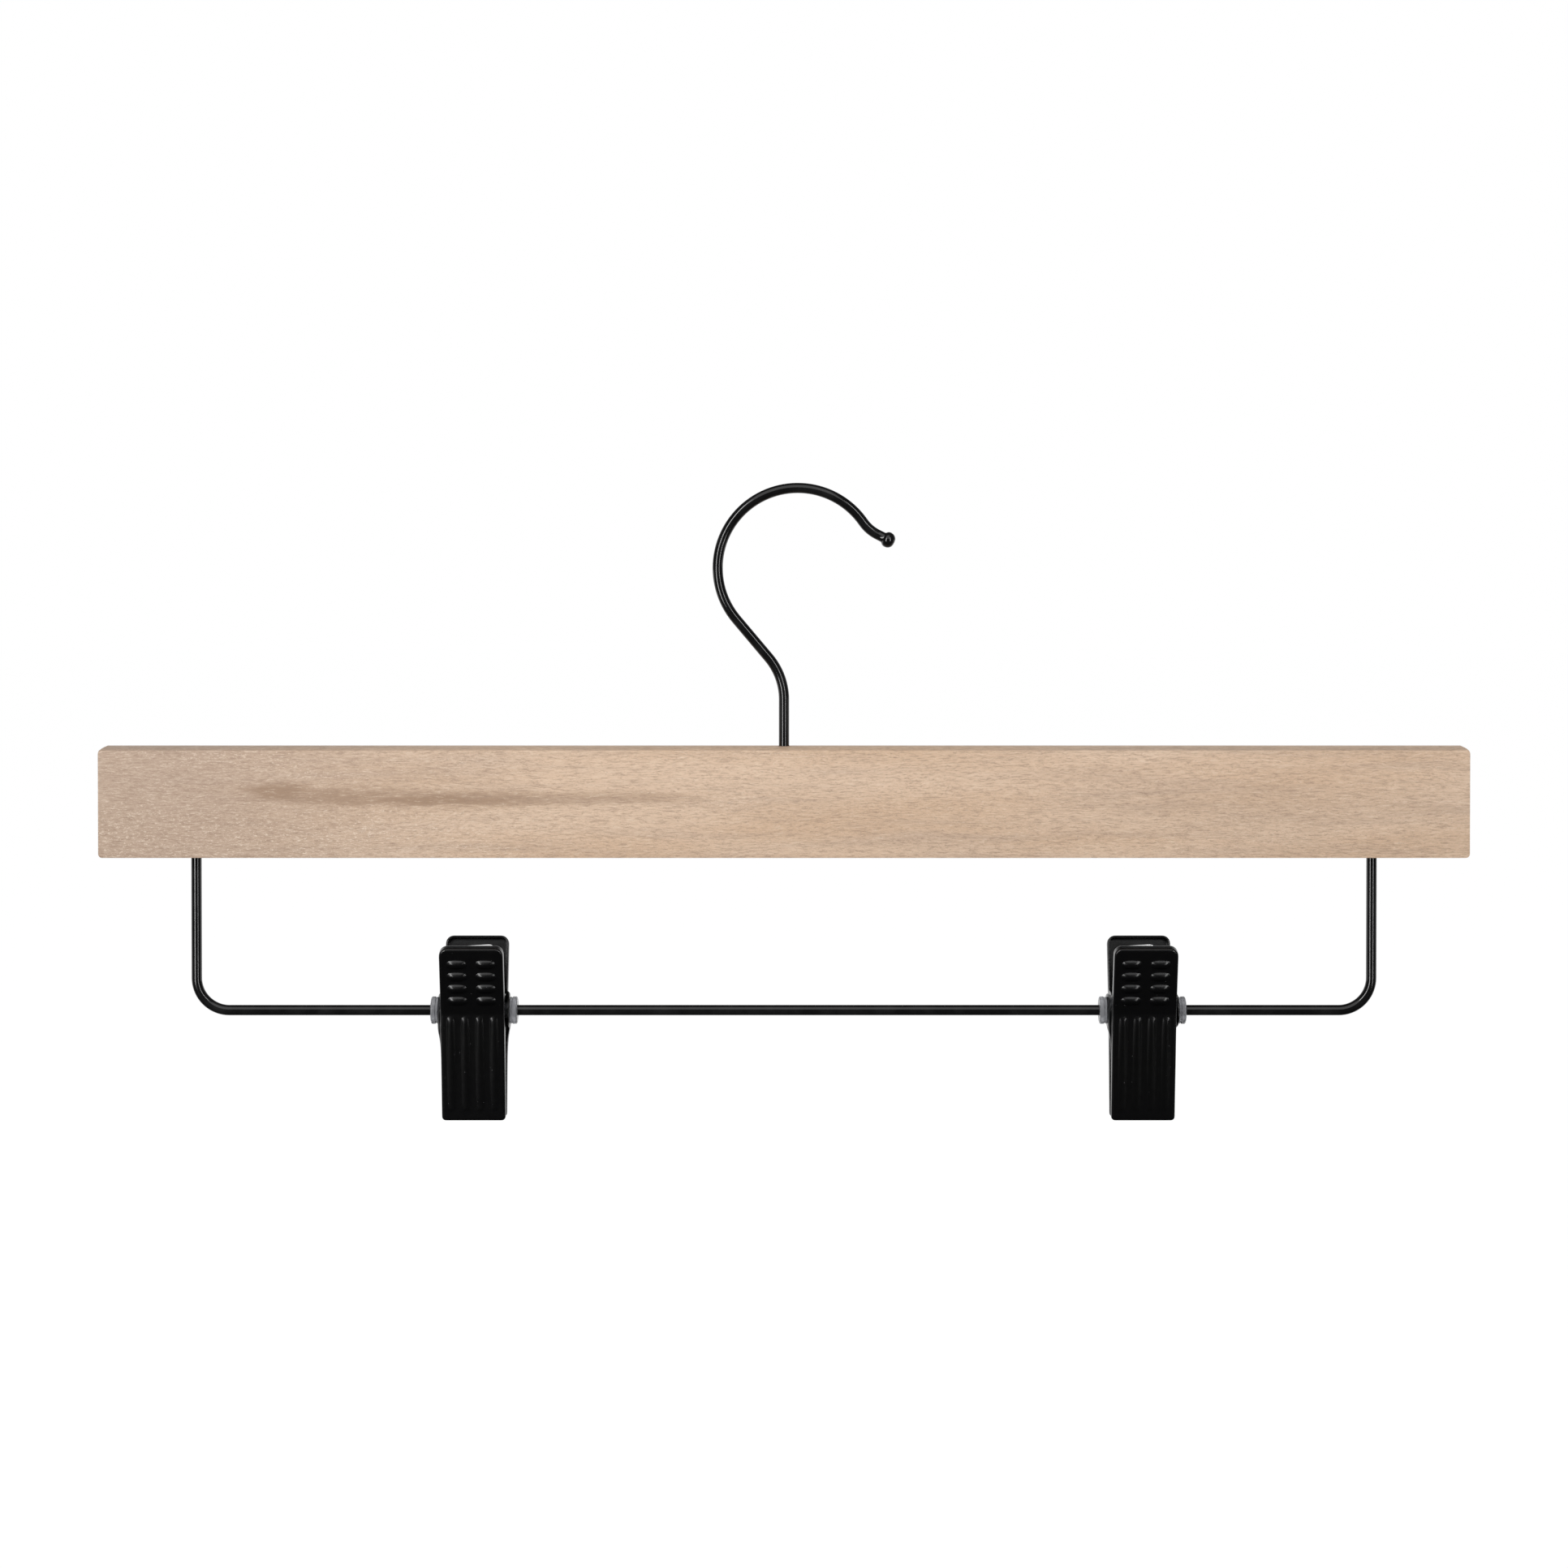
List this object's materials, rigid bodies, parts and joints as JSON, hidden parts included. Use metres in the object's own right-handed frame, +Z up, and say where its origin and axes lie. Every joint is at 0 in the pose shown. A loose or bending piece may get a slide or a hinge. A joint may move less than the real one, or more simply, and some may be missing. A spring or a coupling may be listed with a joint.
{
  "type": "trouser hanger",
  "caption": "Flat wooden hanger bar on a swivel wire hook, with a wire below it carrying sliding sprung metal clips.",
  "frame": {"origin": "rail seat: the highest point inside the hook's crown, where it hangs on a rail", "axes": "+Z up, +X along the bar to the right seen from the front, -Y out of the front face"},
  "size_m": [0.42, 0.026, 0.1961],
  "materials": {
    "black_wire": "semi-gloss black lacquer on steel wire",
    "pale_wood": "fine-grained pale wood under a matt clear lacquer",
    "black_enamel": "deep gloss black enamel on pressed steel",
    "black_rubber": "matt black rubber",
    "bright_steel": "bright nickel-plated spring strip",
    "clear_plastic": "clear moulded plastic",
    "zinc_plate": "bright zinc plate"
  },
  "bodies": {
    "hook": {"swivel_hook": "black_wire", "hook_washer": "zinc_plate", "hook_nut": "zinc_plate"},
    "hanger_bar": {"wooden_bar": "pale_wood", "wire_bar": "black_wire"},
    "left_slider": {"left_clip_left_bush": "clear_plastic", "left_clip_right_bush": "clear_plastic"},
    "left_back_jaw": {"left_back_plate": "black_enamel", "left_back_pad": "black_rubber", "left_spring": "bright_steel"},
    "left_front_jaw": {"left_front_plate": "black_enamel", "left_front_pad": "black_rubber"},
    "right_slider": {"right_clip_left_bush": "clear_plastic", "right_clip_right_bush": "clear_plastic"},
    "right_back_jaw": {"right_back_plate": "black_enamel", "right_back_pad": "black_rubber", "right_spring": "bright_steel"},
    "right_front_jaw": {"right_front_plate": "black_enamel", "right_front_pad": "black_rubber"}
  },
  "joints": [
    {"name": "bar_swivel", "type": "hinge", "parent": "hook", "child": "hanger_bar", "pos_m": [-0.0042, 0, -0.0778], "axis": [0, 0, 1], "continuous": true},
    {"name": "left_slide", "type": "slide", "parent": "hanger_bar", "child": "left_slider", "axis": [1, 0, 0], "range_m": [-0.0612, 0.0814]},
    {"name": "left_swing", "type": "hinge", "parent": "left_slider", "child": "left_back_jaw", "pos_m": [-0.0996, 0, -0.1594], "axis": [1, 0, 0], "continuous": true},
    {"name": "left_open", "type": "hinge", "parent": "left_back_jaw", "child": "left_front_jaw", "pos_m": [-0.0996, 0, -0.1594], "axis": [-1, 0, 0], "range_deg": [0, 40], "stiffness_Nm_per_rad": 0.35, "springref_deg": -57.3, "deforming": ["left_spring"]},
    {"name": "right_slide", "type": "slide", "parent": "hanger_bar", "child": "right_slider", "axis": [1, 0, 0], "range_m": [-0.0964, 0.0462]},
    {"name": "right_swing", "type": "hinge", "parent": "right_slider", "child": "right_back_jaw", "pos_m": [0.1062, 0, -0.1594], "axis": [1, 0, 0], "continuous": true},
    {"name": "right_open", "type": "hinge", "parent": "right_back_jaw", "child": "right_front_jaw", "pos_m": [0.1062, 0, -0.1594], "axis": [-1, 0, 0], "range_deg": [0, 40], "stiffness_Nm_per_rad": 0.35, "springref_deg": -57.3, "deforming": ["right_spring"]}
  ]
}
